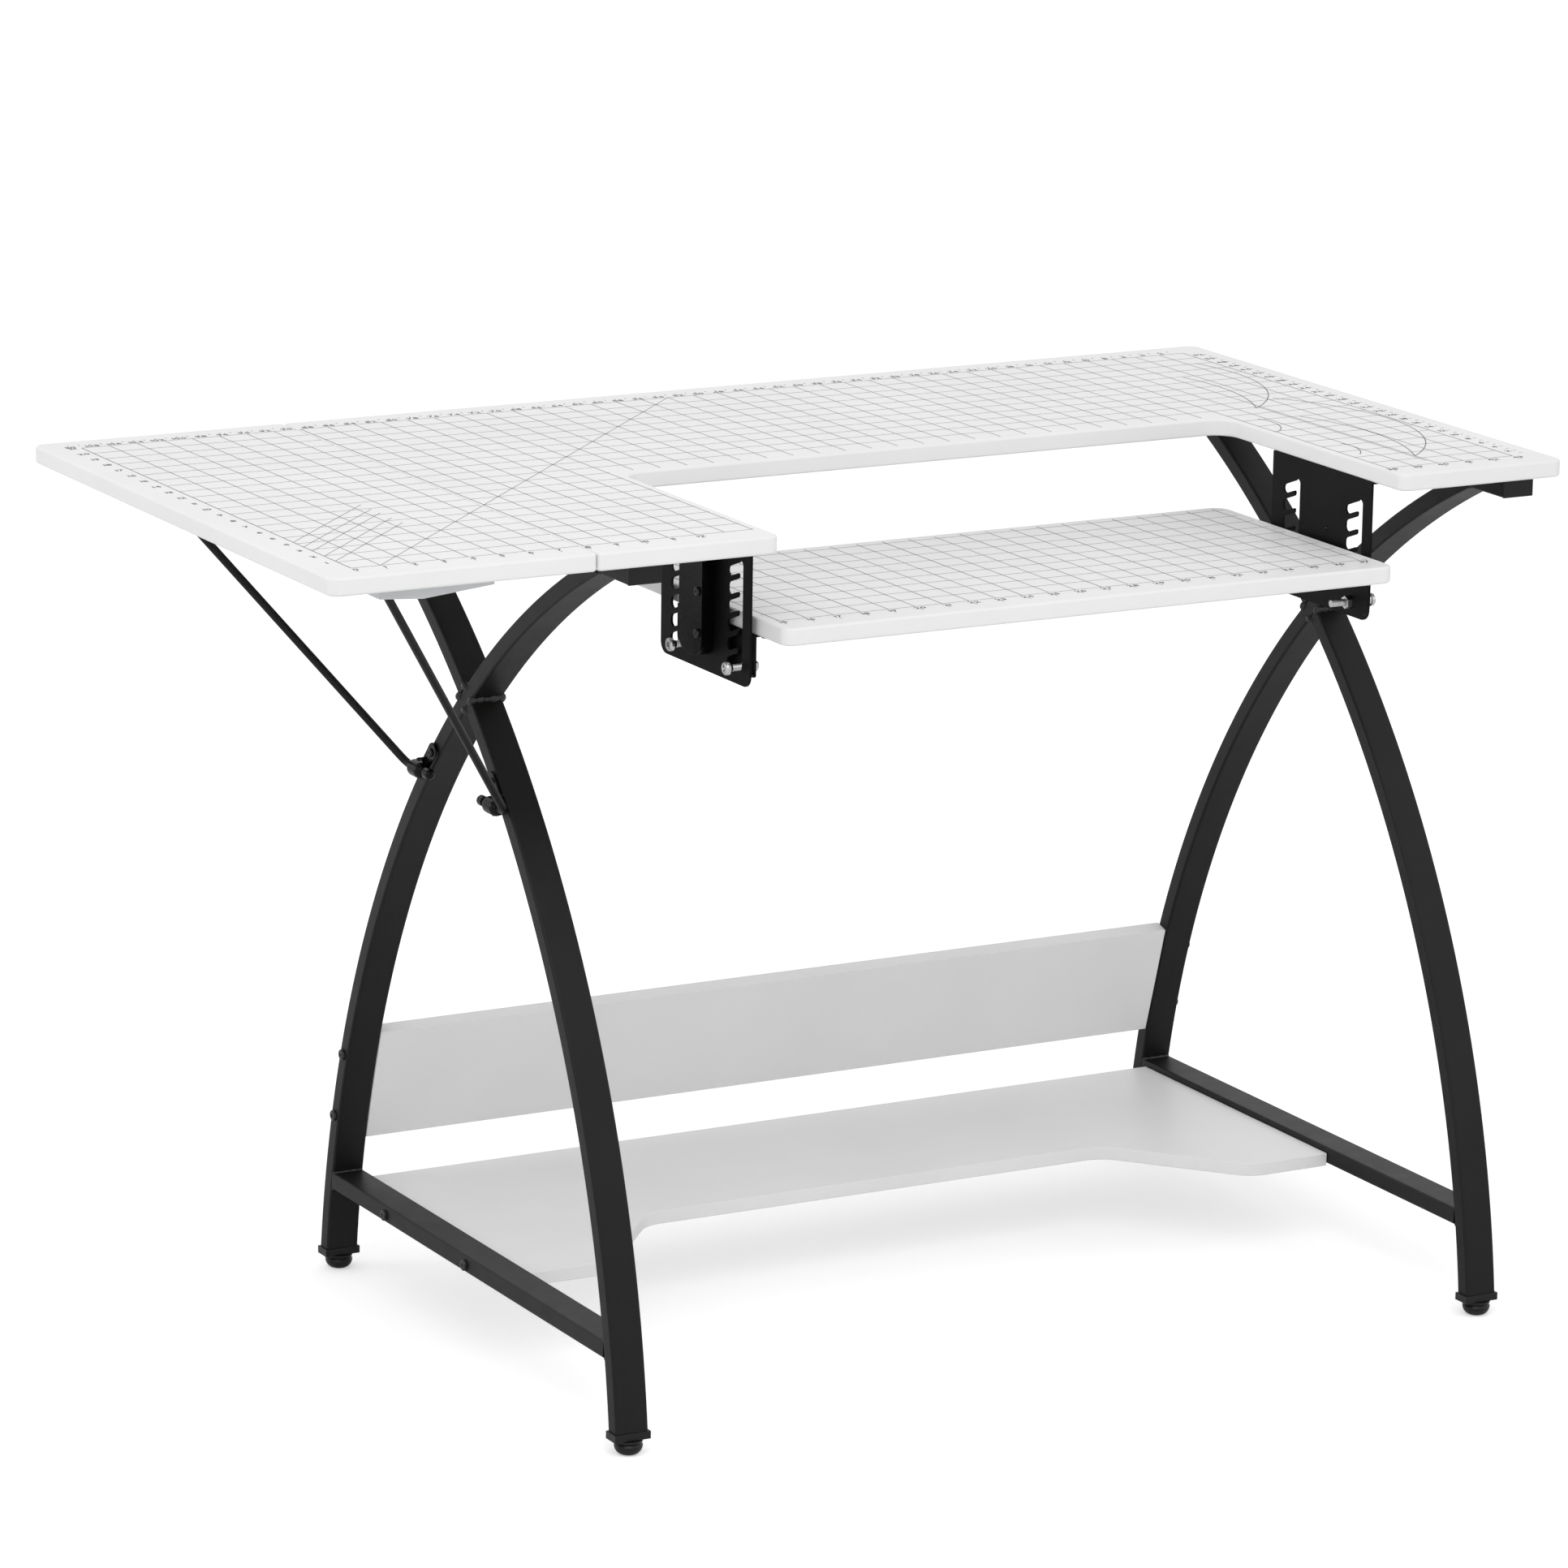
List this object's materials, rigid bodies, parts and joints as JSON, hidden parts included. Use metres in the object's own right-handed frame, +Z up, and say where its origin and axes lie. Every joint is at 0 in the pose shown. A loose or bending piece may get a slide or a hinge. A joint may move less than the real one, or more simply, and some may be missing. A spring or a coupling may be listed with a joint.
{
  "type": "sewing machine table",
  "caption": "Sewing table with a drop leaf, a height-adjustable machine platform in a front cut-out, crossed arc tube legs, low shelf and back panel.",
  "frame": {"origin": "on the floor under the middle of the raised table's outline", "axes": "+X along the table to its right, away from the drop leaf; +Y to the rear; +Z up; the user sits on the -Y side"},
  "size_m": [1.156, 0.597, 0.762],
  "materials": {
    "white_board": "white laminate on board, satin, with a printed measuring grid on the tops",
    "black_frame": "black powder coat, fine texture, satin",
    "black_plastic": "black moulded plastic, matt",
    "gloss_black": "black moulded plastic, glossy",
    "grey_plastic": "light grey moulded plastic",
    "black_rod": "black coated round rod, satin",
    "zinc": "zinc-plated steel",
    "black_steel": "blackened steel screws and bolts"
  },
  "bodies": {
    "frame": {"main_top": "white_board", "shelf": "white_board", "back_panel": "white_board", "left_arc_tube": "black_frame", "right_arc_tube": "black_frame", "left_lower_tube": "black_frame", "right_lower_tube": "black_frame", "left_upper_tube": "black_frame", "right_upper_tube": "black_frame", "left_top_rail": "black_frame", "right_top_rail": "black_frame", "left_stretcher": "black_frame", "right_stretcher": "black_frame", "left_toothed_bracket": "black_frame", "right_toothed_bracket": "black_frame", "rail_end_caps": "black_plastic", "foot_ferrules": "black_plastic", "left_bracket_block": "black_plastic", "right_bracket_block": "black_plastic", "bail_clamp_front": "gloss_black", "bail_clamp_rear": "gloss_black", "hinge_fixed_plates": "zinc", "hinge_pins": "zinc", "rail_screws": "zinc", "bracket_screws": "zinc", "hinge_fixed_screws": "zinc", "shelf_screws": "black_steel", "panel_bolts": "black_steel", "bracket_block_screws": "black_steel", "clamp_screws": "black_steel"},
    "platform": {"platform": "white_board", "left_carrier": "black_frame", "right_carrier": "black_frame", "height_pins": "zinc", "height_pin_nuts": "zinc", "carrier_screws": "zinc"},
    "leaf": {"drop_leaf": "white_board", "hinge_moving_plates": "zinc", "hinge_moving_screws": "zinc", "bail_catch_front": "grey_plastic", "bail_catch_rear": "grey_plastic", "catch_screws": "zinc"},
    "bail": {"bail": "black_rod", "bail_end_caps": "black_plastic"},
    "glide_left_front": {"glide_left_front": "black_plastic"},
    "glide_left_rear": {"glide_left_rear": "black_plastic"},
    "glide_right_front": {"glide_right_front": "black_plastic"},
    "glide_right_rear": {"glide_right_rear": "black_plastic"}
  },
  "joints": [
    {"name": "platform_height", "type": "slide", "parent": "frame", "child": "platform", "axis": [0, 0, 1], "range_m": [0, 0.0775]},
    {"name": "leaf_hinge", "type": "hinge", "parent": "frame", "child": "leaf", "pos_m": [-0.3455, 0, 0.744], "axis": [0, -1, 0], "range_deg": [0, 90]},
    {"name": "bail_pivot", "type": "hinge", "parent": "frame", "child": "bail", "pos_m": [-0.3245, 0, 0.503], "axis": [0, -1, 0], "range_deg": [0, 139.1]},
    {"name": "glide_left_front_turn", "type": "hinge", "parent": "frame", "child": "glide_left_front", "pos_m": [-0.3015, -0.2794, 0.0065], "axis": [0, 0, 1], "continuous": true},
    {"name": "glide_left_rear_turn", "type": "hinge", "parent": "frame", "child": "glide_left_rear", "pos_m": [-0.3015, 0.2794, 0.0065], "axis": [0, 0, 1], "continuous": true},
    {"name": "glide_right_front_turn", "type": "hinge", "parent": "frame", "child": "glide_right_front", "pos_m": [0.5345, -0.2794, 0.0065], "axis": [0, 0, 1], "continuous": true},
    {"name": "glide_right_rear_turn", "type": "hinge", "parent": "frame", "child": "glide_right_rear", "pos_m": [0.5345, 0.2794, 0.0065], "axis": [0, 0, 1], "continuous": true}
  ],
  "couplings": [
    {"joint": "bail_pivot", "follows": "leaf_hinge", "ratio": 1.5444}
  ]
}
